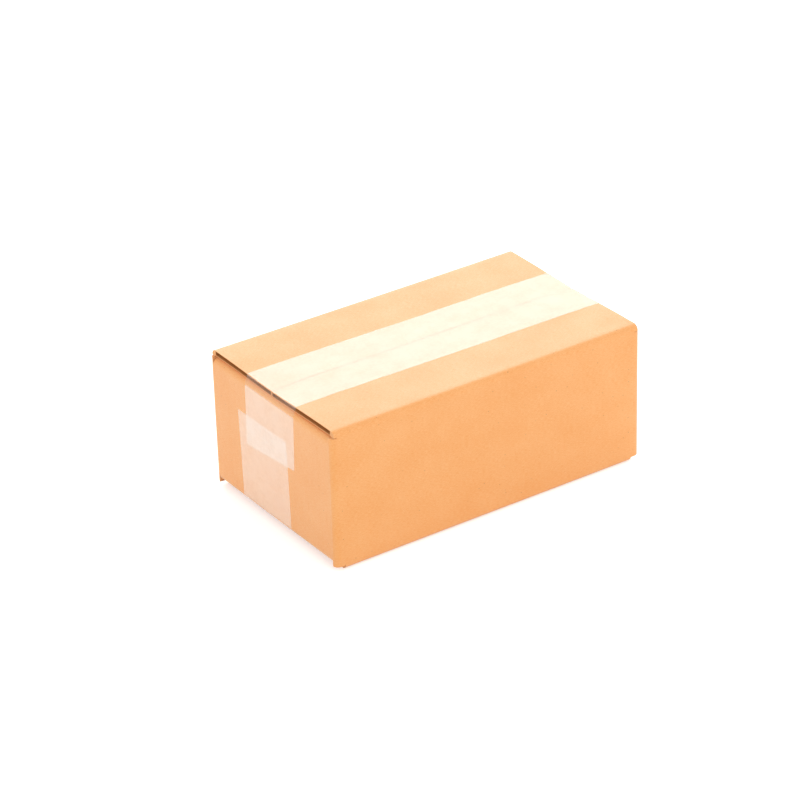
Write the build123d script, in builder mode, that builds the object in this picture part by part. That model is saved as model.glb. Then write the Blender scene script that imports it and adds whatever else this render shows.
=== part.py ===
from build123d import *
import os

# A closed slotted carton: one sheet of corrugated board, folded into a box and closed with two strips
# of tape. +Z is up, X runs along the box and Y across it. The origin is on the ground, under its middle.

# The box over its board, in mm
length = 206.0
width = 121.0
height = 85.5

# The board: two liners with fluting between them. A cut along the flutes leaves the edge hollow.
board = 3.0
liner = 0.35
fold_radius = 0.4
edge_hollow = 2.0

# The flaps, and the slots that part them at the corners
seam_gap = 1.0
flap_gap = 0.3
top_flap_setback = 2.0
bottom_flap_setback = 6.0
end_flap_clearance = 0.1
end_flap_reach = 58.0

# The upright joint, where one panel's tab is glued inside the next panel, and both are crushed a little
tab_reach = 32.0
joint_crush = 0.1
tab_taper = 4.0
joint_setback = 1.0

# The tape. The ends of the bottom tape lie under the ends of the top tape.
film = 0.05
tape_width = 48.0
top_tape_shift = 0.0
bottom_tape_shift = 7.5
top_tape_end = 43.0
bottom_tape_end = 60.4
tape_bend = 1.2
tape_overhang = 1.0
tape_drop = 1.0

# The outer faces of the board
half_length = length / 2
half_width = width / 2
board_bottom = film
board_top = board_bottom + height

# The middle line of the walls, and the folds around it
line_x = half_length - board / 2
line_y = half_width - board / 2
tab_line_y = line_y - board + joint_crush
middle_radius = fold_radius + board / 2
outer_radius = fold_radius + board

# The end flaps lie inside the long flaps, and the walls are straight between their folds
end_flap_top = board_top - board - flap_gap
end_flap_bottom = board_bottom + board + flap_gap
straight_top = end_flap_top - outer_radius
straight_bottom = end_flap_bottom + outer_radius

# The slots at the corners end where the folds begin. The end flaps lie between the upright folds, and
# the one beside the glued joint ends one board sooner.
corner_top = board_top - outer_radius
corner_bottom = board_bottom + outer_radius
end_flap_front = outer_radius + end_flap_clearance - half_width
end_flap_back = -end_flap_front
end_flaps = [(-1, end_flap_back), (1, end_flap_back - board)]

with BuildPart() as carton:
    # The walls are one strip with four folds. It starts at the raw edge of the back panel, and its first
    # stretch goes round to the middle of the right end.
    with BuildSketch(Plane.XY.offset(corner_bottom)):
        with BuildLine():
            FilletPolyline(
                (half_length - joint_setback, line_y),
                (-line_x, line_y),
                (-line_x, -line_y),
                (line_x, -line_y),
                (line_x, 0),
                radius=middle_radius,
            )
        trace(line_width=board)
    extrude(amount=corner_top - corner_bottom)

    # Its last stretch is the rest of the right end and the tab, which is glued against the back panel
    with BuildSketch(Plane.XY.offset(corner_bottom)):
        with BuildLine():
            FilletPolyline(
                (line_x, 0),
                (line_x, tab_line_y),
                (half_length - tab_reach, tab_line_y),
                radius=middle_radius,
            )
        trace(line_width=board)
    extrude(amount=corner_top - corner_bottom)

    # Between the corner slots the end panels stop where the folds of their flaps begin
    for end, back in end_flaps:
        for level, height_lost in [(straight_top, outer_radius), (straight_bottom, -outer_radius)]:
            with BuildSketch(Plane.XY.offset(level)):
                with Locations((end * line_x, (end_flap_front + back) / 2)):
                    Rectangle(2 * board, back - end_flap_front)
            extrude(amount=height_lost, mode=Mode.SUBTRACT)

    # The raw edge of the back panel is cut along a flute, so it is hollow
    with BuildSketch(Plane.YZ.offset(half_length - joint_setback)):
        with Locations((line_y, (corner_top + corner_bottom) / 2)):
            Rectangle(board - 2 * liner, corner_top - corner_bottom)
    extrude(amount=-edge_hollow, mode=Mode.SUBTRACT)

    # The tab tapers towards its top and its bottom
    with BuildSketch(Plane.XZ.offset(board - half_width - joint_crush)):
        for level, down in [(straight_top, -1), (straight_bottom, 1)]:
            with BuildLine():
                Polyline(
                    (half_length - tab_reach, level),
                    (half_length - board, level),
                    (half_length - tab_reach, level + down * tab_taper),
                    close=True,
                )
            make_face()
    extrude(amount=board, mode=Mode.SUBTRACT)

    # The long flaps, each with its fold, in cross-section. They meet along the middle of the box.
    for outer_level, fold_level, outward, setback in [
        (board_top, corner_top, 1, top_flap_setback),
        (board_bottom, corner_bottom, -1, bottom_flap_setback),
    ]:
        flap_middle = outer_level - outward * board / 2
        flap_length = length - 2 * setback
        with BuildSketch(Plane.YZ.offset(-flap_length / 2)):
            with BuildLine():
                fold = CenterArc((half_width - outer_radius, fold_level), middle_radius, 0, outward * 90)
                Line(fold @ 1, (seam_gap / 2, flap_middle))
            trace(line_width=board)
            mirror(about=Plane.YZ)
        extrude(amount=flap_length)

        # Their ends are cut along a flute, so they are hollow
        for side in [-1, 1]:
            with BuildSketch(Plane.YZ.offset(side * flap_length / 2)):
                with Locations((0, flap_middle)):
                    Rectangle(width - 2 * outer_radius, board - 2 * liner)
            extrude(amount=-side * edge_hollow, mode=Mode.SUBTRACT)

    # The end flaps, each with its fold
    for end, back in end_flaps:
        for outer_level, fold_level, outward in [
            (end_flap_top, straight_top, 1),
            (end_flap_bottom, straight_bottom, -1),
        ]:
            flap_middle = outer_level - outward * board / 2
            with BuildSketch(Plane.XZ.offset(-end_flap_front)):
                with BuildLine():
                    fold = CenterArc((half_length - outer_radius, fold_level), middle_radius, 0, outward * 90)
                    Line(fold @ 1, (half_length - end_flap_reach, flap_middle))
                trace(line_width=board)
                if end < 0:
                    mirror(about=Plane.YZ, mode=Mode.REPLACE)
            extrude(amount=end_flap_front - back)
carton.part.label = "carton"

# Each tape is a strip along a seam, with both of its ends folded over the ends of the box. The end of a
# long flap is set back from the end of the box, so the tape slants across that step.
wall_face = half_length + film / 2
tail_face = wall_face + film
bottom_run = half_length - bottom_flap_setback + tape_overhang
top_run = half_length - top_flap_setback + tape_overhang

with BuildPart() as bottom_tape:
    with BuildSketch(Plane.XZ.offset(-bottom_tape_shift)):
        with BuildLine():
            FilletPolyline(
                (-wall_face, bottom_tape_end),
                (-wall_face, end_flap_bottom + tape_drop),
                (-bottom_run, film / 2),
                (bottom_run, film / 2),
                (wall_face, end_flap_bottom + tape_drop),
                (wall_face, bottom_tape_end),
                radius=tape_bend,
            )
        trace(line_width=film)
    extrude(amount=tape_width / 2, both=True)
bottom_tape.part.label = "bottom_tape"

with BuildPart() as top_tape:
    with BuildSketch(Plane.XZ.offset(-top_tape_shift)):
        with BuildLine():
            FilletPolyline(
                (-tail_face, top_tape_end),
                (-tail_face, end_flap_top - tape_drop),
                (-top_run, board_top + film / 2),
                (top_run, board_top + film / 2),
                (tail_face, end_flap_top - tape_drop),
                (tail_face, top_tape_end),
                radius=tape_bend,
            )
        trace(line_width=film)
    extrude(amount=tape_width / 2, both=True)
top_tape.part.label = "top_tape"

os.makedirs("parts", exist_ok=True)
export_step(carton.part, "parts/carton.step")
export_step(top_tape.part, "parts/top_tape.step")
export_step(bottom_tape.part, "parts/bottom_tape.step")
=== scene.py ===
# %% [markdown]
# # A closed cardboard carton
#
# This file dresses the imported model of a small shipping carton. The carton is one sheet of corrugated
# board that was printed with nothing, slotted, creased, folded and glued at one upright corner. Two
# strips of clear tape hold it shut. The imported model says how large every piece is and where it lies.
# Here each piece gets its real surface.

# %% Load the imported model
import math

import bmesh
import bpy
from mathutils import Matrix, Vector, noise
from mathutils.bvhtree import BVHTree


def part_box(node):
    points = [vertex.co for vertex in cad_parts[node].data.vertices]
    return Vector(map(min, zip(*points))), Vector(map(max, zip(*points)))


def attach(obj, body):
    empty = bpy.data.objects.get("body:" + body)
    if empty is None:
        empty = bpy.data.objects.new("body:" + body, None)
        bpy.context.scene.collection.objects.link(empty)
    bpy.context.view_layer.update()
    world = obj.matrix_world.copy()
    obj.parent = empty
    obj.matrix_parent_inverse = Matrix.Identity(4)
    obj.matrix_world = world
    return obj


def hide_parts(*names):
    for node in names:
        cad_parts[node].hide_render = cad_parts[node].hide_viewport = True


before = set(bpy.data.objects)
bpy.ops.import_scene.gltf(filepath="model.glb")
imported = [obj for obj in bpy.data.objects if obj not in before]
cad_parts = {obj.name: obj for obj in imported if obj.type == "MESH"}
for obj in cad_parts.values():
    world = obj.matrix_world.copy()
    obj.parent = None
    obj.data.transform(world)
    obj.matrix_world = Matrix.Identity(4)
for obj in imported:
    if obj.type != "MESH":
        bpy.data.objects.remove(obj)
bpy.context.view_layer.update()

# %% [markdown]
# ## Sizes
#
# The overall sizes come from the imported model's boxes. What the boxes can't tell, such as how wide a
# fold is, is given in metres, and each value is written once.

# %% Sizes of the carton
MM = 0.001
board_low, board_high = [Vector(corner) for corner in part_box("carton")]
half_length = board_high.x
half_width = board_high.y
board_bottom = board_low.z
board_top = board_high.z
mid_height = (board_bottom + board_top) / 2

BOARD = 3.0 * MM
LINER = 0.35 * MM
FOLD = 3.4 * MM
FLAP_ROOM = 1.3 * MM
SEAM = 0.6 * MM
TOP_SETBACK = 1.8 * MM
BOTTOM_SETBACK = 6.0 * MM
END_FLAP_MARGIN = 3.6 * MM
END_FLAP_REACH = 58 * MM
TAB_REACH = 32 * MM
TAB_TAPER = 4 * MM
JOINT_SETBACK = 1.0 * MM
print("board over all, mm:", [round(size / MM, 1) for size in board_high - board_low])


# %% [markdown]
# ## The blank, flat
#
# A carton starts as a flat blank: four panels in a row with a narrow glue tab at one end, and a flap
# above and below each panel. It could be built straight away as a box of eight slabs, but the folds
# would then be sharp seams, and the grain of the paper would not run on from one panel to the next. So
# the blank is made flat, as in the factory, its flat coordinates are kept as a UV map, and it is folded
# afterwards. `u` runs along the row of panels, and `v` up the blank from the middle of its walls.

# %% Lines of the blank along u
def spread(start, end, step):
    """Evenly spaced values from start to end, about one step apart, without the last one."""
    count = max(1, round(abs(end - start) / step))
    return [start + (end - start) * i / count for i in range(count)]


CELL = 2.5 * MM
FOLD_CELLS = 6
FOLD_RUN = FOLD * math.pi / 2
long_run = 2 * (half_length - FOLD)
end_run = 2 * (half_width - FOLD)

back_length = half_length - JOINT_SETBACK + half_length - FOLD
right_length = end_run - BOARD
tab_length = TAB_REACH - FOLD
panel_names = ["back", "left", "front", "right", "tab"]
panel_lengths = [back_length, end_run, long_run, right_length, tab_length]
panel_start = {}
place = 0.0
for name, panel_length in zip(panel_names, panel_lengths):
    panel_start[name] = place
    place += panel_length + FOLD_RUN
blank_length = place - FOLD_RUN
panel_size = dict(zip(panel_names, panel_lengths))
print("the blank is", round(blank_length / MM), "mm long")

# %% Lines of the blank along v
long_fold = board_top - FOLD - mid_height
end_fold = long_fold - BOARD - FLAP_ROOM
long_reach = half_width - FOLD - SEAM / 2
end_reach = END_FLAP_REACH - FOLD
long_edge = long_fold + FOLD_RUN + long_reach
end_edge = end_fold + FOLD_RUN + end_reach
print("the blank is", round(2 * long_edge / MM), "mm across its long flaps")

# %% [markdown]
# The slots between the flaps are cut down to a little below the folds, so that the flaps can turn in
# without tearing. A flap's edge therefore stands free of the upright corner beside it. The bottom slots
# are wider than the top ones on this carton, and leave a small notch at each bottom corner.

# %% Where each flap starts and ends along its panel, and how deep the slots are
TOP_SLOT = FOLD + 0.5 * MM
BOTTOM_SLOT = 2.9 * MM
SLIT = 0.3 * MM

slot_level = {1: board_top - TOP_SLOT - mid_height, -1: mid_height - board_bottom - BOTTOM_SLOT}
long_margin = {1: TOP_SETBACK - FOLD, -1: BOTTOM_SETBACK - FOLD}
end_margin = END_FLAP_MARGIN - FOLD
raw_margin = {1: TOP_SETBACK - JOINT_SETBACK, -1: BOTTOM_SETBACK - JOINT_SETBACK}


def flap_span(name, side):
    """The first and last u of a panel's flap, on its top side (1) or its bottom side (-1)."""
    first, last = panel_start[name], panel_start[name] + panel_size[name]
    if name in ("left", "right"):
        return first + end_margin, last - end_margin
    margin = long_margin[side]
    return first + (raw_margin[side] if name == "back" else margin), last - margin


print("slots end", round(TOP_SLOT / MM, 1), "mm below the top")
print("slots end", round(BOTTOM_SLOT / MM, 1), "mm above the ground")


# %% The lines of the flat grid
def merged(values, least):
    """Sorted values, without those that come closer than `least` to the one before."""
    kept = []
    for value in sorted(values):
        if not kept or value - kept[-1] > least:
            kept.append(value)
    return kept


u_marks = []
for name in panel_names:
    start, end = panel_start[name], panel_start[name] + panel_size[name]
    u_marks += spread(start, end, CELL) + spread(end, end + FOLD_RUN, FOLD_RUN / FOLD_CELLS)
u_marks = [u for u in u_marks if u < blank_length - FOLD_RUN / 2] + [blank_length]
u_hard = [blank_length]
for name in panel_names[:4]:
    u_hard += [panel_start[name], panel_start[name] + panel_size[name]]
    for side in (1, -1):
        first, last = flap_span(name, side)
        u_hard += [first, last]
        if name in ("left", "right") or side == -1:
            u_hard += [first - SLIT, last + SLIT]
u_hard = merged(u_hard, 0.02 * MM)
LEAST_CELL = 0.45 * MM
SAME_LINE = 0.02 * MM
u_free = [u for u in u_marks if min(abs(u - hard) for hard in u_hard) > LEAST_CELL]
u_lines = merged(u_hard + u_free, SAME_LINE)

v_hard = []
v_marks = []
for side in (1, -1):
    for fold, edge in ((long_fold, long_edge), (end_fold, end_edge)):
        v_hard += [side * fold, side * (fold + FOLD_RUN), side * edge]
        v_marks += spread(side * fold, side * (fold + FOLD_RUN), FOLD_RUN / FOLD_CELLS)
    v_marks += spread(side * (long_fold + FOLD_RUN), side * end_edge, CELL)
    v_hard.append(side * slot_level[side])
v_marks += spread(-end_fold, end_fold, CELL)
v_hard = merged(v_hard, 0.02 * MM)
v_free = [v for v in v_marks if min(abs(v - hard) for hard in v_hard) > LEAST_CELL]
v_lines = merged(v_hard + v_free, SAME_LINE)
print("the flat grid has", len(u_lines), "by", len(v_lines), "lines")


# %% [markdown]
# A grid operator makes all the cells at once. Its lines are then moved to where the blank has its folds
# and cuts, and the cells that fall in a slot, or beyond the ends of the flaps, are deleted, as a die
# would cut them out.

# %% Is a cell of the grid part of the blank?
def in_blank(u, v):
    side = 1 if v > 0 else -1
    reach = abs(v)
    if u > panel_start["tab"]:
        return reach < end_fold
    for name in panel_names[:4]:
        first, last = flap_span(name, side)
        straight = panel_start[name] <= u <= panel_start[name] + panel_size[name]
        if first < u < last:
            if name in ("left", "right"):
                return reach < end_edge
            return reach < long_edge and (straight or reach > long_fold or reach < slot_level[side])
        if name in ("left", "right") and straight:
            return reach < (end_fold if first - SLIT < u < last + SLIT else slot_level[side])
        if side == -1 and first - SLIT < u < last + SLIT:
            return reach < long_fold
    return reach < slot_level[side]


# %% Make the flat blank
sheet = bmesh.new()
bmesh.ops.create_grid(sheet, x_segments=len(u_lines) - 1, y_segments=len(v_lines) - 1, size=0.5)
for vert in sheet.verts:
    column = round((vert.co.x + 0.5) * (len(u_lines) - 1))
    row = round((vert.co.y + 0.5) * (len(v_lines) - 1))
    vert.co = (u_lines[column], v_lines[row], 0)
outside = [face for face in sheet.faces if not in_blank(*face.calc_center_median()[:2])]
bmesh.ops.delete(sheet, geom=outside, context="FACES")
print("the blank has", len(sheet.faces), "cells, and", len(outside), "were cut out")

# %% Taper the glue tab towards its top and its bottom
tab_cells = [face for face in sheet.faces if face.calc_center_median().x > panel_start["tab"]]
for side in (1, -1):
    geometry = set()
    for face in tab_cells:
        if face.is_valid:
            geometry.update((face, *face.edges, *face.verts))
    outward = Vector((TAB_TAPER, side * tab_length, 0))
    start = Vector((panel_start["tab"], side * end_fold, 0))
    bmesh.ops.bisect_plane(sheet, geom=list(geometry), plane_co=start, plane_no=outward, clear_outer=True)
    tab_cells = [face for face in sheet.faces if face.calc_center_median().x > panel_start["tab"]]
print("the tab has", len(tab_cells), "cells after its corners are cut")

# %% Keep the flat coordinates as the UV map
flat_map = sheet.loops.layers.uv.new("sheet")
for face in sheet.faces:
    for loop in face.loops:
        loop[flat_map].uv = loop.vert.co.xy

# %% [markdown]
# ## Folding
#
# Each fold is a quarter turn with a radius a little larger than the board is thick, because the outer
# paper has to stretch round it. Two small functions say where a flat point goes: one follows the walls
# round the box in plan, and the other follows a flap over its fold in cross-section.

# %% Around the box in plan
turn_centres = {
    "back": Vector((FOLD - half_length, half_width - FOLD)),
    "left": Vector((FOLD - half_length, FOLD - half_width)),
    "front": Vector((half_length - FOLD, FOLD - half_width)),
    "right": Vector((half_length - FOLD, half_width - BOARD - FOLD)),
}
headings = dict(zip(panel_names, [math.pi, 1.5 * math.pi, 0.0, 0.5 * math.pi, math.pi]))
GLUE_LINE = 0.03 * MM


def in_plan(u, panel=None):
    """The place and outward direction of the wall at u. A named panel runs straight on past its end."""
    for name in panel_names:
        along = u - panel_start[name]
        if panel == name or (panel is None and (along <= panel_size[name] or name == "tab")):
            heading = Vector((math.cos(headings[name]), math.sin(headings[name])))
            outward = Vector((heading.y, -heading.x))
            if name == "tab":
                turned = turn_centres["right"] + outward * (FOLD - GLUE_LINE)
                return turned + heading * along, outward
            corner = turn_centres[name] + outward * FOLD
            return corner + heading * (along - panel_size[name]), outward
        if panel is None and along < panel_size[name] + FOLD_RUN:
            angle = headings[name] - math.pi / 2 + (along - panel_size[name]) / FOLD
            outward = Vector((math.cos(angle), math.sin(angle)))
            return turn_centres[name] + outward * FOLD, outward


# %% Over a fold in cross-section
def in_section(reach, fold):
    """How far in and how high a point lies that is `reach` up the blank, when the fold starts at `fold`."""
    past = reach - fold
    if past <= 0:
        return 0.0, reach
    if past < FOLD_RUN:
        return FOLD * (1 - math.cos(past / FOLD)), fold + FOLD * math.sin(past / FOLD)
    return FOLD + past - FOLD_RUN, fold + FOLD


# %% Fold the blank
def flap_of(u, v):
    """The panel whose flap a point is on, or None for the walls and the upright corners."""
    side = 1 if v > 0 else -1
    reach = abs(v)
    for name in panel_names[:4]:
        first, last = flap_span(name, side)
        fold = end_fold if name in ("left", "right") else long_fold
        if first - 1e-7 <= u <= last + 1e-7 and reach >= fold - 1e-7:
            return name
    return None


for vert in sheet.verts:
    u, v = vert.co.xy
    side = 1 if v > 0 else -1
    panel = flap_of(u, v)
    if panel is None:
        place, outward = in_plan(u)
        inset, height = 0.0, abs(v)
    else:
        place, outward = in_plan(u, panel)
        inset, height = in_section(abs(v), end_fold if panel in ("left", "right") else long_fold)
    place = place - outward * inset
    vert.co = (place.x, place.y, mid_height + side * height)
sheet.normal_update()
front_cells = [face for face in sheet.faces if face.normal.y < -0.99]
if not front_cells:
    bmesh.ops.reverse_faces(sheet, faces=sheet.faces[:])
sheet.normal_update()
lowest = min(vert.co.z for vert in sheet.verts)
highest = max(vert.co.z for vert in sheet.verts)
print("folded, the box stands from", round(lowest / MM, 2), "to", round(highest / MM, 2), "mm")

# %% [markdown]
# ## Handling marks in the shape
#
# A taped carton is never quite flat. The tape pulls the ends of the long flaps down onto the end flaps,
# so the gap under them is widest near the corners. The panels bow a little, and the top sinks slightly
# between its ends. These are moves of a millimetre or so, and they are made before the board gets its
# thickness, so that both of its faces move together.

# %% How far the tape pulls the top flaps down
END_DIP = 1.05 * MM
DIP_LENGTH = 16 * MM
DIP_HALF_WIDTH = 27 * MM


def falls(distance, length):
    """1 at no distance, falling smoothly to 0."""
    return math.exp(-((distance / length) ** 2))


def top_sink(x, y):
    end_pull = END_DIP * falls(half_length - abs(x), DIP_LENGTH) * falls(y, DIP_HALF_WIDTH)
    middle = 0.5 * MM * (1 - (x / half_length) ** 2) * (1 - 0.6 * (y / half_width) ** 2)
    return end_pull + middle


# %% How far the walls bow, and the small unevenness of handled board
def unevenness(point, grain, seed):
    return noise.noise(point / grain + Vector((seed, 2 * seed, 3 * seed)))


def wall_bow(x, y, z):
    upright = math.sin(math.pi * min(1, max(0, (z - board_bottom) / (board_top - board_bottom))))
    on_long_side = abs(abs(y) - half_width) < FOLD
    across = 1 - min(1, (x / half_length) ** 2) if on_long_side else 1 - (y / half_width) ** 2
    return upright * max(0, across)


for vert in sheet.verts:
    x, y, z = vert.co
    normal = vert.normal.copy()
    height = (z - board_bottom) / (board_top - board_bottom)
    long_side = abs(abs(y) - half_width) < 0.5 * MM or z > board_top - 1.2 * FOLD
    sink = top_sink(x, y) * max(0, height - 0.5) * 2 if long_side else 0
    calm = min(1, (half_length - abs(x)) / (12 * MM))
    if abs(normal.z) > 0.5:
        calm = min(calm, (half_width - abs(y)) / (12 * MM))
    ripple = 0.22 * MM * unevenness(vert.co, 45 * MM, 3.1) + 0.07 * MM * unevenness(vert.co, 14 * MM, 5.7)
    bow = 0.35 * MM * wall_bow(x, y, z) if abs(normal.z) < 0.1 else 0
    vert.co -= normal * (abs(ripple) * max(0, calm) + bow) + Vector((0, 0, sink))
sheet.normal_update()
print("the top sinks by", round(top_sink(half_length, 0) / MM, 2), "mm at its ends")

# %% [markdown]
# ## Thickness
#
# Solidify gives every cell its 3 mm of board, inwards, because the sizes so far are those of the
# outside. The edges of the flaps that are cut along the fluting are hollow: two thin papers with nothing
# between them. There the rim is inset by one paper's thickness and pushed in.

# %% Give the board its thickness
outer_cells = sheet.faces[:]
sheet_material = {"liner": 0, "edge": 1, "hollow": 2}
outer_count = len(outer_cells)
bmesh.ops.solidify(sheet, geom=outer_cells, thickness=BOARD)
sheet.normal_update()
sheet.faces.ensure_lookup_table()
print("cells before and after:", outer_count, len(sheet.faces))

# %% Sort the new faces, and hollow out the edges that are cut along the fluting
HOLLOW_DEPTH = 4.0 * MM
outer_faces = set(outer_cells)
cut_edges = {edge for face in outer_cells for edge in face.edges}
others = [face for face in sheet.faces if face not in outer_faces]
rim = [face for face in others if any(edge in cut_edges for edge in face.edges)]
for face in rim:
    face.material_index = sheet_material["edge"]


def hollow(faces):
    """Turn rim faces in one plane into two thin papers with a gap between them."""
    bmesh.ops.inset_region(sheet, faces=faces, thickness=LINER, use_even_offset=True)
    bmesh.ops.inset_region(sheet, faces=faces, thickness=0.01 * MM, depth=-HOLLOW_DEPTH, use_even_offset=True)
    touching = {other for face in faces for edge in face.edges for other in edge.link_faces}
    for face in touching:
        face.material_index = sheet_material["hollow"]


flap_height = {1: board_top - BOARD, -1: board_bottom + BOARD}
for side in (1, -1):
    for end in (1, -1):
        setback = TOP_SETBACK if side == 1 else BOTTOM_SETBACK
        for front in (1, -1):
            ends = []
            for face in rim:
                centre = face.calc_center_median()
                near_end = abs(end * centre.x - (half_length - setback)) < 0.3 * MM
                in_flap = side * (centre.z - flap_height[side]) > -1.3 * MM
                beyond_fold = front * centre.y > 0 and abs(centre.y) < half_width - FOLD
                if near_end and in_flap and beyond_fold and end * face.normal.x > 0.9:
                    ends.append(face)
            hollow(ends)
            print("hollow end edge of", len(ends), "cells")

raw_edge = [face for face in rim if face.normal.x > 0.9 and face.calc_center_median().y > half_width - BOARD
            and abs(face.calc_center_median().z - mid_height) < long_fold - 1 * MM
            and face.calc_center_median().x > half_length - 2 * JOINT_SETBACK]
hollow(raw_edge)
print("hollow joint edge of", len(raw_edge), "cells")

# %% Make the carton an object
def add_piece(mesh, name, replaced, materials):
    """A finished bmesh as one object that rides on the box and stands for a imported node."""
    data = bpy.data.meshes.new(name)
    mesh.to_mesh(data)
    for polygon in data.polygons:
        polygon.use_smooth = True
    data.set_sharp_from_angle(angle=math.radians(35))
    for material in materials:
        data.materials.append(material)
    piece = bpy.data.objects.new(name, data)
    bpy.context.scene.collection.objects.link(piece)
    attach(piece, "root")
    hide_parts(replaced)
    print(name, "has", len(data.polygons), "faces")
    return piece


# %% [markdown]
# ## Paper
#
# Kraft liner is brown paper, and all its interest is small: long fibres lying along the machine's
# direction, a few dark flecks of bark, cloudy lighter and darker patches, and a faint washboard where
# the fluting shows through. The fibres and the washboard follow the sheet, so they read the flat UV map.
# A picture of cardboard would be quicker, but it would not follow this blank's folds, and it would blur
# close up. The effects that the outside and the cut edges share are one node group.

# %% Helpers for colours and nodes
def colour(red, green, blue):
    """A colour given in the usual 0 to 255 values."""
    channels = [value / 255 for value in (red, green, blue)]
    return tuple(c / 12.92 if c <= 0.04045 else ((c + 0.055) / 1.055) ** 2.4 for c in channels) + (1.0,)


def node(tree, kind, **inputs):
    """Add a node and set or link its inputs by name. Underscores in a name stand for spaces."""
    made = tree.nodes.new(kind)
    for key, value in inputs.items():
        if key.startswith("_"):
            setattr(made, key[1:], value)
            continue
        numbered = key[0] == "i" and key[1:].isdigit()
        socket = made.inputs[int(key[1:]) if numbered else key.replace("_", " ")]
        if isinstance(value, bpy.types.NodeSocket):
            tree.links.new(value, socket)
        else:
            socket.default_value = value
    return made


def maths(tree, operation, first, second=0.0, clamp=False):
    made = node(tree, "ShaderNodeMath", _operation=operation, _use_clamp=clamp, i0=first, i1=second)
    return made.outputs[0]


def scaled(tree, vector, factors):
    return node(tree, "ShaderNodeVectorMath", _operation="MULTIPLY", i0=vector, i1=factors).outputs[0]


def between(tree, value, low, high, to_low=0.0, to_high=1.0):
    """Bring a value from the range low to high into the range to_low to to_high, clamped."""
    made = node(tree, "ShaderNodeMapRange", Value=value, From_Min=low, From_Max=high,
                To_Min=to_low, To_Max=to_high)
    return made.outputs[0]


def mixed(tree, factor, first, second, blend="MIX"):
    made = tree.nodes.new("ShaderNodeMix")
    made.data_type = "RGBA"
    made.blend_type = blend
    for socket, value in ((made.inputs[0], factor), (made.inputs[6], first), (made.inputs[7], second)):
        if isinstance(value, bpy.types.NodeSocket):
            tree.links.new(value, socket)
        else:
            socket.default_value = value
    return made.outputs[2]


# %% The paper effect as a group
paper = bpy.data.node_groups.new("kraft_paper", "ShaderNodeTree")
paper.interface.new_socket("Place", in_out="INPUT", socket_type="NodeSocketVector")
for socket_name in ("Fibre Strength", "Cloud Strength", "Fleck Strength"):
    paper.interface.new_socket(socket_name, in_out="INPUT", socket_type="NodeSocketFloat")
paper.interface.new_socket("Light", in_out="OUTPUT", socket_type="NodeSocketFloat")
paper.interface.new_socket("Fleck", in_out="OUTPUT", socket_type="NodeSocketFloat")
paper.interface.new_socket("Height", in_out="OUTPUT", socket_type="NodeSocketFloat")
inside = paper.nodes.new("NodeGroupInput").outputs
fibre_place = scaled(paper, inside["Place"], (0.45, 3.2, 1.0))
long_fibres = node(paper, "ShaderNodeTexNoise", Vector=fibre_place, Scale=1.0, Detail=5.0,
                   Roughness=0.62).outputs[0]
short_place = scaled(paper, inside["Place"], (2.6, 6.0, 3.0))
short_fibres = node(paper, "ShaderNodeTexNoise", Vector=short_place, Scale=1.0, Detail=3.0,
                    Roughness=0.6, Distortion=0.8).outputs[0]
cloud_place = scaled(paper, inside["Place"], (0.035, 0.05, 0.05))
clouds = node(paper, "ShaderNodeTexNoise", Vector=cloud_place, Scale=1.0, Detail=4.0,
              Roughness=0.55).outputs[0]
fleck_place = scaled(paper, inside["Place"], (0.28, 0.42, 0.4))
fleck_cells = node(paper, "ShaderNodeTexVoronoi", Vector=fleck_place, Scale=1.0, Randomness=1.0)
fleck_size = between(paper, fleck_cells.outputs["Distance"], 0.05, 0.13, 1.0, 0.0)
fleck_chance = node(paper, "ShaderNodeSeparateColor", i0=fleck_cells.outputs["Color"]).outputs[0]
rare = maths(paper, "GREATER_THAN", fleck_chance, 0.80)
fibres = maths(paper, "SUBTRACT", maths(paper, "ADD", long_fibres, short_fibres), 1.0)
fibre_part = maths(paper, "MULTIPLY", fibres, inside["Fibre Strength"])
cloud_part = maths(paper, "MULTIPLY", maths(paper, "SUBTRACT", clouds, 0.5), inside["Cloud Strength"])
leaves = paper.nodes.new("NodeGroupOutput").inputs
paper.links.new(maths(paper, "ADD", maths(paper, "ADD", fibre_part, cloud_part), 1.0), leaves["Light"])
fleck = maths(paper, "MULTIPLY", maths(paper, "MULTIPLY", fleck_size, rare), inside["Fleck Strength"])
paper.links.new(fleck, leaves["Fleck"])
long_height = maths(paper, "MULTIPLY", long_fibres, 0.6)
short_height = maths(paper, "MULTIPLY", short_fibres, 0.4)
paper.links.new(maths(paper, "ADD", long_height, short_height), leaves["Height"])
print("paper group:", len(paper.nodes), "nodes")


# %% Kraft liner, the outside of the board
KRAFT = colour(243, 162, 84)
KRAFT_PALE = colour(251, 184, 116)
BARK = colour(196, 126, 66)
FLUTE_PITCH = 6.4
IN_MM = (1000.0, 1000.0, 1000.0)


def new_material(name):
    material = bpy.data.materials.new(name)
    material.use_nodes = True
    material.node_tree.nodes.clear()
    tree = material.node_tree
    shader = tree.nodes.new("ShaderNodeBsdfPrincipled")
    surface = tree.nodes.new("ShaderNodeOutputMaterial")
    tree.links.new(shader.outputs[0], surface.inputs[0])
    return material, tree, shader


def sheet_place(tree):
    return scaled(tree, node(tree, "ShaderNodeUVMap", _uv_map="sheet").outputs[0], IN_MM)


def paper_effect(tree, place, fibre, cloud, fleck):
    effect = tree.nodes.new("ShaderNodeGroup")
    effect.node_tree = paper
    tree.links.new(place, effect.inputs["Place"])
    effect.inputs["Fibre Strength"].default_value = fibre
    effect.inputs["Cloud Strength"].default_value = cloud
    effect.inputs["Fleck Strength"].default_value = fleck
    return effect.outputs


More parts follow.
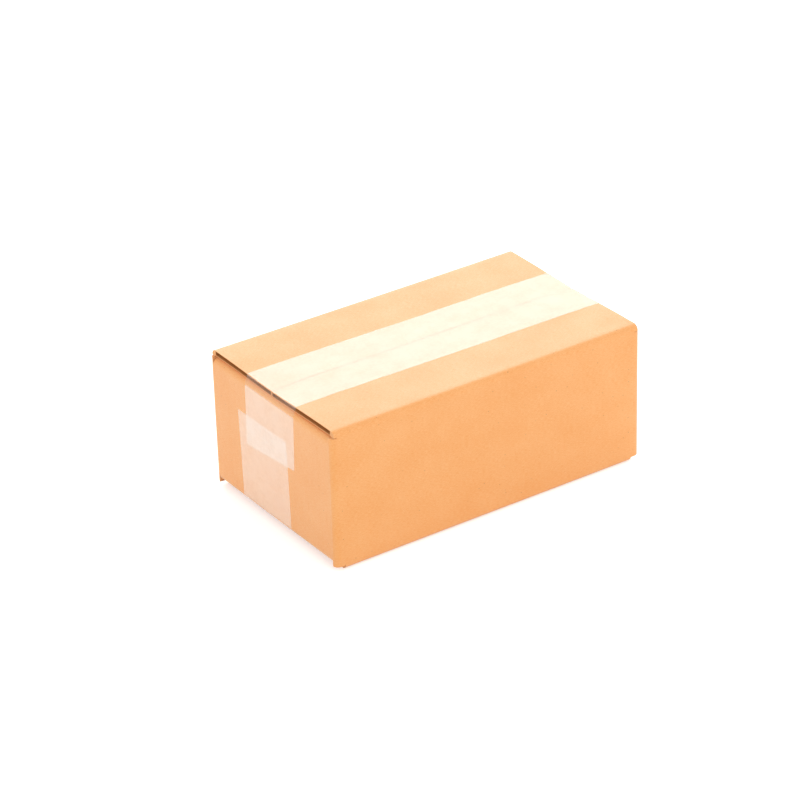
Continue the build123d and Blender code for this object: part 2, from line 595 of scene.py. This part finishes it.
liner_material, tree, shader = new_material("kraft_liner")
place = sheet_place(tree)
effect = paper_effect(tree, place, 1.1, 0.35, 0.9)
along = node(tree, "ShaderNodeSeparateXYZ", Vector=place).outputs[0]
flutes = maths(tree, "SINE", maths(tree, "MULTIPLY", along, 2 * math.pi / FLUTE_PITCH))
pale = between(tree, effect["Light"], 0.85, 1.15)
tone = mixed(tree, pale, KRAFT, KRAFT_PALE)
tone = mixed(tree, effect["Fleck"], tone, BARK)
tree.links.new(tone, shader.inputs["Base Color"])
relief = maths(tree, "ADD", maths(tree, "MULTIPLY", flutes, 0.25), effect["Height"])
bump = node(tree, "ShaderNodeBump", Height=relief, Strength=0.35, Distance=0.00008)
tree.links.new(bump.outputs[0], shader.inputs["Normal"])
tree.links.new(between(tree, effect["Light"], 0.8, 1.2, 0.66, 0.5), shader.inputs["Roughness"])
shader.inputs["Sheen Weight"].default_value = 0.7
shader.inputs["Sheen Roughness"].default_value = 0.45
shader.inputs["Sheen Tint"].default_value = (1.0, 0.97, 0.92, 1.0)
print("liner:", len(tree.nodes), "nodes")


# %% [markdown]
# The cut edges show the inside of the papers, which is a little paler and furrier. The hollow between
# them lies in shade, and its walls and the fluting at its back get a darker colour: partly the darker
# recycled paper of the fluting, partly painted shade for the deep recess.

# %% The cut edge and the hollow
def object_place(tree):
    return scaled(tree, node(tree, "ShaderNodeTexCoord").outputs["Object"], IN_MM)


edge_material, tree, shader = new_material("cut_edge")
effect = paper_effect(tree, object_place(tree), 0.5, 0.2, 0.3)
tone = mixed(tree, between(tree, effect["Light"], 0.7, 1.3), colour(226, 154, 92), colour(250, 196, 140))
tree.links.new(tone, shader.inputs["Base Color"])
bump = node(tree, "ShaderNodeBump", Height=effect["Height"], Strength=0.6, Distance=0.0002)
tree.links.new(bump.outputs[0], shader.inputs["Normal"])
shader.inputs["Roughness"].default_value = 0.9

hollow_material, tree, shader = new_material("hollow_edge_painted_shade")
effect = paper_effect(tree, object_place(tree), 0.6, 0.3, 0.5)
# Darker than the cut edge: partly the fluting's own darker paper, partly painted shade in the recess.
tone = mixed(tree, between(tree, effect["Light"], 0.7, 1.3), colour(176, 112, 54), colour(212, 146, 84))
tree.links.new(tone, shader.inputs["Base Color"])
shader.inputs["Roughness"].default_value = 0.95
carton = add_piece(sheet, "carton_board", "carton", [liner_material, edge_material, hollow_material])

# %% [markdown]
# ## Tape
#
# Each strip of tape is a thin clear film, stuck along the middle seam and down both ends. It isn't a
# flat band: it lies on the board where it was pressed down, bridges the gap at the folds in a straight
# line, lifts in small bubbles, and ends in the teeth of the dispenser. So each strip is a flat grid laid
# on the finished board by casting rays onto it.

# %% Sizes of the tape
FILM = 0.05 * MM
STICK = 0.01 * MM
TAPE_WIDTH = 48 * MM
TOOTH = 0.8 * MM
ROW = 1.4 * MM
BRIDGE_ROWS = 6
top_low, top_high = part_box("top_tape")
bottom_low, bottom_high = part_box("bottom_tape")
top_end = top_low.z
bottom_end = bottom_high.z
bottom_shift = (bottom_low.y + bottom_high.y) / 2
board_tree = BVHTree.FromBMesh(sheet)
print("tape ends at", round(top_end / MM, 1), "and", round(bottom_end / MM, 1), "mm above the ground")


# %% Where a strip rests on the board
def face_at_end(end, y, z):
    """How far out the board's end is at a height, on the near side (-1) or the far side (1)."""
    place = board_tree.ray_cast(Vector((end * 2 * half_length, y, z)), Vector((-end, 0, 0)))[0]
    return abs(place.x)


def face_on_top(x, y):
    """The board's height under a point. The film spans the seam, so the highest of three counts."""
    down = Vector((0, 0, -1))
    casts = [board_tree.ray_cast(Vector((x, y + step, 0.2)), down)[0] for step in (-SEAM, 0, SEAM)]
    return max(place.z for place in casts if place)


def lifted(point, grain, most, seed):
    """A film's small bubbles, which only ever lift it."""
    return most * max(0, unevenness(point, grain, seed)) ** 1.5


# %% Lay one strip
def lay_strip(level, ends, centre, lean, tail_lean, slant, contact, run_start, over=None):
    """level is 1 for the top and -1 for the bottom. Returns the strip as a bmesh with its own flat UV map."""
    stations = []
    for end in (-1, 1):
        tail = [("tail", end, f) for f in spread(0, 1, ROW / abs(contact - ends))]
        bridge = [("bridge", end, f) for f in spread(0, 1, 1 / BRIDGE_ROWS)]
        half = tail + bridge
        stations += half if end == -1 else [("run", 0, x) for x in spread(-run_start, run_start, ROW)] + [
            ("run", 0, run_start)] + half[::-1]
    columns = round(TAPE_WIDTH / TOOTH)
    strip = bmesh.new()
    bmesh.ops.create_grid(strip, x_segments=len(stations) - 1, y_segments=columns, size=0.5)
    flat = {}

    def middle(x):
        return centre + lean * x / half_length

    def on_tail(end, share, across):
        y = middle(end * half_length) + across + tail_lean * (1 - share)
        stop = ends + slant * across / TAPE_WIDTH
        z = stop + (contact - stop) * share
        out = face_at_end(end, y, z) + FILM + STICK
        if over:
            out += FILM * over(y, z)
        out += lifted(Vector((end, y, z)), 16 * MM, 0.35 * MM, 2.3)
        return Vector((end * out, y, z))

    def on_run(x, across):
        y = middle(x) + across
        if level == -1:
            return Vector((x, y, 0.0))
        height = face_on_top(x, y) + FILM + STICK + lifted(Vector((x, y, 1)), 14 * MM, 0.3 * MM, 4.9)
        return Vector((x, y, height))

    for vert in strip.verts:
        row = round((vert.co.x + 0.5) * (len(stations) - 1))
        column = round((vert.co.y + 0.5) * columns)
        kind, end, value = stations[row]
        across = (column / columns - 0.5) * TAPE_WIDTH
        if kind == "tail":
            if row in (0, len(stations) - 1):
                value = (column % 2) * TOOTH / abs(contact - ends)
            vert.co = on_tail(end, value, across)
        elif kind == "bridge":
            vert.co = on_tail(end, 1.0, across).lerp(on_run(end * run_start, across), value)
        else:
            vert.co = on_run(value, across)
        flat[vert] = (row * ROW, across)
    strip_map = strip.loops.layers.uv.new("strip")
    for face in strip.faces:
        for loop in face.loops:
            loop[strip_map].uv = flat[loop.vert]
    strip.normal_update()
    central = min(strip.faces, key=lambda face: abs(face.calc_center_median().x))
    if central.normal.z * level < 0:
        bmesh.ops.reverse_faces(strip, faces=strip.faces[:])
    bmesh.ops.solidify(strip, geom=strip.faces[:], thickness=FILM)
    strip.normal_update()
    return strip


# %% The bottom strip, then the top strip over its tails
TANGENT_LOW = board_bottom + 5.6 * MM
TANGENT_HIGH = board_top - 6.75 * MM
bottom_strip = lay_strip(-1, bottom_end, bottom_shift, 0.0, 2.0 * MM, -0.6 * MM, TANGENT_LOW,
                         half_length - BOTTOM_SETBACK + 0.5 * MM)


def over_bottom_strip(y, z):
    """1 where the top strip lies on the bottom strip's tail, ramping to 0 just past its edges."""
    inside_side = TAPE_WIDTH / 2 - abs(y - bottom_shift - 2.0 * MM)
    depth = min(inside_side, bottom_end - z)
    return min(1, max(0, depth / MM + 1))


top_strip = lay_strip(1, top_end, -0.4 * MM, -0.8 * MM, 1.8 * MM, -4.5 * MM, TANGENT_HIGH,
                      half_length - TOP_SETBACK - 0.3 * MM, over_bottom_strip)
print("strips:", len(bottom_strip.faces), "and", len(top_strip.faces), "faces")

# %% [markdown]
# Where the glue wets the board the film looks clear, and where it only just touches, a haze of tiny air
# pockets makes it whitish. The haze is patchy, and gone where the film hangs free over the folds. Both
# strips use the same group.

# %% The stuck film effect as a group
film = bpy.data.node_groups.new("stuck_film", "ShaderNodeTree")
film.interface.new_socket("Place", in_out="INPUT", socket_type="NodeSocketVector")
for socket_name in ("Free From", "Free To"):
    film.interface.new_socket(socket_name, in_out="INPUT", socket_type="NodeSocketFloat")
film.interface.new_socket("Haze", in_out="OUTPUT", socket_type="NodeSocketFloat")
film.interface.new_socket("Wrinkle", in_out="OUTPUT", socket_type="NodeSocketFloat")
inside = film.nodes.new("NodeGroupInput").outputs
patch_place = scaled(film, inside["Place"], (0.07, 0.07, 0.07))
patches = node(film, "ShaderNodeTexNoise", Vector=patch_place, Scale=1.0, Detail=4.0,
               Roughness=0.6).outputs[0]
pockets = node(film, "ShaderNodeTexNoise", Vector=scaled(film, inside["Place"], (0.6, 0.6, 0.6)), Scale=1.0,
               Detail=3.0).outputs[0]
height = node(film, "ShaderNodeSeparateXYZ", Vector=inside["Place"]).outputs[2]
above = node(film, "ShaderNodeMapRange", Value=height,
             From_Min=maths(film, "SUBTRACT", inside["Free From"], 0.6),
             From_Max=maths(film, "ADD", inside["Free From"], 0.6)).outputs[0]
below = node(film, "ShaderNodeMapRange", Value=height, From_Min=maths(film, "ADD", inside["Free To"], 0.4),
             From_Max=maths(film, "SUBTRACT", inside["Free To"], 0.4)).outputs[0]
stuck = maths(film, "SUBTRACT", 1.0, maths(film, "MULTIPLY", above, below))
blend = maths(film, "ADD", maths(film, "MULTIPLY", patches, 0.7), maths(film, "MULTIPLY", pockets, 0.3))
patchy = between(film, blend, 0.36, 0.56, 0.86, 1.0)
haze = maths(film, "MULTIPLY", patchy, maths(film, "ADD", maths(film, "MULTIPLY", stuck, 0.8), 0.2))
leaves = film.nodes.new("NodeGroupOutput").inputs
film.links.new(haze, leaves["Haze"])
film.links.new(maths(film, "ADD", patches, maths(film, "MULTIPLY", pockets, 0.35)), leaves["Wrinkle"])


# %% The two tape materials
def tape_material(name, free_from, free_to, haze_most):
    material, tree, shader = new_material(name)
    effect = tree.nodes.new("ShaderNodeGroup")
    effect.node_tree = film
    tree.links.new(object_place(tree), effect.inputs["Place"])
    effect.inputs["Free From"].default_value = free_from / MM
    effect.inputs["Free To"].default_value = free_to / MM
    inner_side = node(tree, "ShaderNodeNewGeometry").outputs["Backfacing"]
    outer_side = maths(tree, "SUBTRACT", 1.0, inner_side)
    haze = maths(tree, "MULTIPLY", effect.outputs["Haze"], haze_most)
    tree.links.new(maths(tree, "MULTIPLY", haze, outer_side), shader.inputs["Alpha"])
    bump = node(tree, "ShaderNodeBump", Height=effect.outputs["Wrinkle"], Strength=0.5, Distance=0.0003)
    tree.links.new(bump.outputs[0], shader.inputs["Normal"])
    shader.inputs["Base Color"].default_value = colour(255, 252, 246)
    shader.inputs["Roughness"].default_value = 0.2
    return material


top_film = tape_material("clear_film_top", TANGENT_HIGH, board_top - 1.4 * MM, 0.44)
bottom_film = tape_material("clear_film_bottom", board_bottom + 0.2 * MM, TANGENT_LOW, 0.40)
top_piece = add_piece(top_strip, "tape_over_top", "top_tape", [top_film])
bottom_piece = add_piece(bottom_strip, "tape_under_bottom", "bottom_tape", [bottom_film])
for piece in (top_piece, bottom_piece):
    piece.visible_shadow = False
    piece.visible_diffuse = False

# %% [markdown]
# ## Floor, light and camera
#
# A pale floor, a plain white sky and three large soft lamps, set so that a colour shows about as it is
# written.

# %% Floor
floor_mesh = bmesh.new()
bmesh.ops.create_grid(floor_mesh, x_segments=1, y_segments=1, size=6.0)
floor_data = bpy.data.meshes.new("floor")
floor_mesh.to_mesh(floor_data)
floor = bpy.data.objects.new("floor", floor_data)
floor.location.z = -0.05 * MM
bpy.context.scene.collection.objects.link(floor)
floor_material = bpy.data.materials.new("pale_floor")
floor_material.use_nodes = True
tree = floor_material.node_tree
tree.nodes.clear()
matt = node(tree, "ShaderNodeBsdfDiffuse", Color=(0.93, 0.93, 0.93, 1.0))
seen = node(tree, "ShaderNodeLightPath").outputs["Is Camera Ray"]
glow = node(tree, "ShaderNodeEmission", Strength=maths(tree, "MULTIPLY", seen, 0.45))
both = node(tree, "ShaderNodeAddShader", i0=matt.outputs[0], i1=glow.outputs[0])
node(tree, "ShaderNodeOutputMaterial", Surface=both.outputs[0])
floor_data.materials.append(floor_material)

# %% Sky
SKY = 0.80
world = bpy.data.worlds.new("plain_sky")
bpy.context.scene.world = world
world.use_nodes = True
tree = world.node_tree
tree.nodes.clear()
path = node(tree, "ShaderNodeLightPath").outputs
direct = maths(tree, "MAXIMUM", path["Is Camera Ray"], maths(tree, "MAXIMUM", path["Is Glossy Ray"],
                                                             path["Is Transmission Ray"]))
sky = node(tree, "ShaderNodeBackground", Color=(1.0, 1.0, 1.0, 1.0),
           Strength=between(tree, direct, 0, 1, SKY, 1.0))
node(tree, "ShaderNodeOutputWorld", Surface=sky.outputs[0])


# %% Lamps
def soft_lamp(name, place, size, power):
    lamp = bpy.data.lights.new(name, "AREA")
    lamp.size = size
    lamp.energy = power
    holder = bpy.data.objects.new(name, lamp)
    holder.location = place
    holder.rotation_euler = (-Vector(place)).to_track_quat("-Z", "Y").to_euler()
    bpy.context.scene.collection.objects.link(holder)
    return holder


soft_lamp("lamp_behind", (0.77, 1.15, 0.80), 1.3, 15.0)
soft_lamp("lamp_left", (-1.4, 0.1, 0.7), 1.0, 3.0)
soft_lamp("lamp_front", (0.5, -1.4, 0.7), 1.0, 5.0)

# %% Camera
aim = Vector((-0.01177, 0.00965, 0.04543))
DISTANCE = 1.85287
bearing = math.radians(33.868)
rise = math.radians(28.517)
roll = math.radians(-1.7375)
forward = Vector((math.cos(rise) * math.sin(bearing), math.cos(rise) * math.cos(bearing), -math.sin(rise)))
camera_data = bpy.data.cameras.new("camera")
camera_data.lens = 149.374
camera_data.sensor_width = 36.0
camera = bpy.data.objects.new("camera", camera_data)
facing = forward.to_track_quat("-Z", "Y").to_matrix().to_4x4()
camera.matrix_world = (Matrix.Translation(aim - forward * DISTANCE) @ facing
                       @ Matrix.Rotation(roll, 4, "Z"))
bpy.context.scene.collection.objects.link(camera)
bpy.context.scene.camera = camera
bpy.context.scene.view_settings.view_transform = "Standard"
